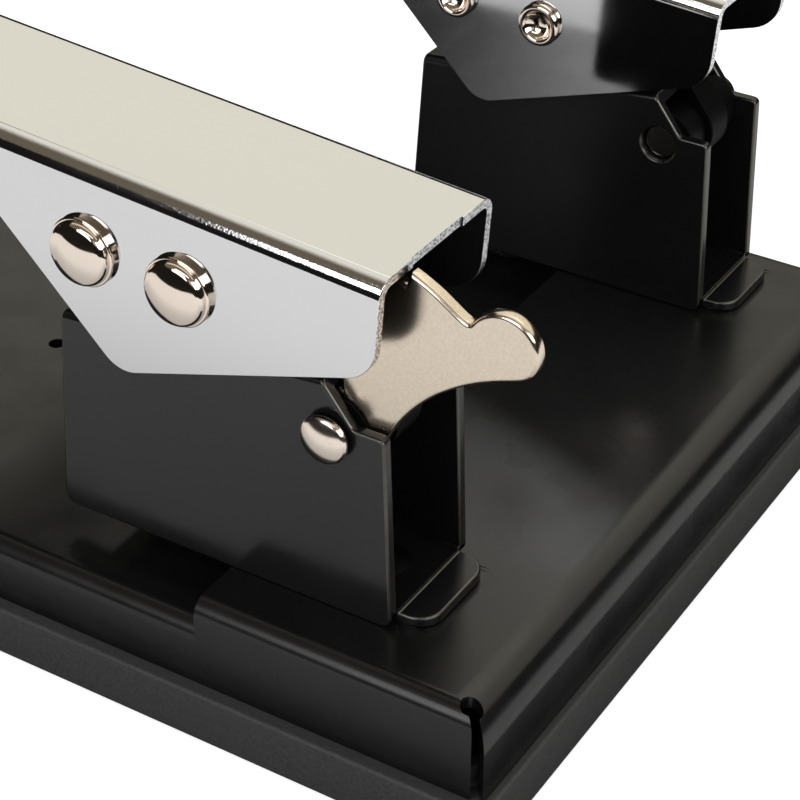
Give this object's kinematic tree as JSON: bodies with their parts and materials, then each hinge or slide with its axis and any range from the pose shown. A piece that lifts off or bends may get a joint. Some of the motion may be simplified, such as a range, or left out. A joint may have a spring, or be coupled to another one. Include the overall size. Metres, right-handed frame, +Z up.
{
  "type": "heavy duty hole punch",
  "caption": "Desk punch: pressed black base on a chip tray, folded brackets with sprung punches, chromed channel arms joined by a grip bar, and a thumb latch at one arm.",
  "frame": {"origin": "middle of the flat bottom face of the tray", "axes": "+X to the user's right along the pivot axis, +Y to the rear, +Z up"},
  "size_m": [0.1122, 0.126, 0.0799],
  "materials": {
    "black_enamel": "satin black baked enamel on pressed steel",
    "bracket_enamel": "satin black baked enamel on folded steel",
    "tray_plastic": "matt black moulded plastic",
    "chrome_plate": "bright chrome plate on folded steel",
    "polished_nickel": "polished nickel plate",
    "satin_nickel": "satin nickel plate on stamped steel",
    "tool_steel": "ground and hardened steel",
    "blackened_steel": "black oxide",
    "grip_rubber": "matt black rubber"
  },
  "bodies": {
    "base": {"base_plate": "black_enamel", "base_tray": "tray_plastic", "bracket_right": "bracket_enamel", "bracket_left": "bracket_enamel", "bracket_rivets_right": "blackened_steel", "bracket_rivets_left": "blackened_steel", "pivot_pin_right": "polished_nickel", "pivot_pin_left": "polished_nickel", "pivot_spacers_right": "blackened_steel", "pivot_spacers_left": "blackened_steel", "punch_guide_right": "blackened_steel", "punch_guide_left": "blackened_steel", "die_bush_right": "tool_steel", "die_bush_left": "tool_steel", "punch_spring_right": "tool_steel", "punch_spring_left": "tool_steel"},
    "handle": {"arm_right": "chrome_plate", "arm_left": "chrome_plate", "arm_rivets_right": "polished_nickel", "arm_rivets_left": "polished_nickel", "arm_spacers_right": "blackened_steel", "arm_spacers_left": "blackened_steel", "drive_lever_right": "blackened_steel", "drive_lever_left": "blackened_steel", "handle_rod": "tool_steel", "handle_grip": "grip_rubber", "handle_caps": "polished_nickel"},
    "right_punch": {"punch_pin_right": "tool_steel", "spring_collar_right": "tool_steel"},
    "left_punch": {"punch_pin_left": "tool_steel", "spring_collar_left": "tool_steel"},
    "latch": {"lock_latch": "satin_nickel"}
  },
  "joints": [
    {"name": "handle_hinge", "type": "hinge", "parent": "base", "child": "handle", "pos_m": [-0.002, 0.0373, 0.043], "axis": [1, 0, 0], "range_deg": [0, 13], "stiffness_Nm_per_rad": 3.4, "springref_deg": -13.18},
    {"name": "right_punch_slide", "type": "slide", "parent": "base", "child": "right_punch", "axis": [0, 0, -1], "range_m": [0, 0.0059], "deforming": ["punch_spring_right"]},
    {"name": "left_punch_slide", "type": "slide", "parent": "base", "child": "left_punch", "axis": [0, 0, -1], "range_m": [0, 0.0059], "deforming": ["punch_spring_left"]},
    {"name": "latch_hinge", "type": "hinge", "parent": "base", "child": "latch", "pos_m": [0.04385, 0.0373, 0.043], "axis": [1, 0, 0], "range_deg": [-30, 0]}
  ],
  "couplings": [
    {"joint": "right_punch_slide", "follows": "handle_hinge", "m_per_rad": 0.02556},
    {"joint": "left_punch_slide", "follows": "handle_hinge", "m_per_rad": 0.02556}
  ]
}
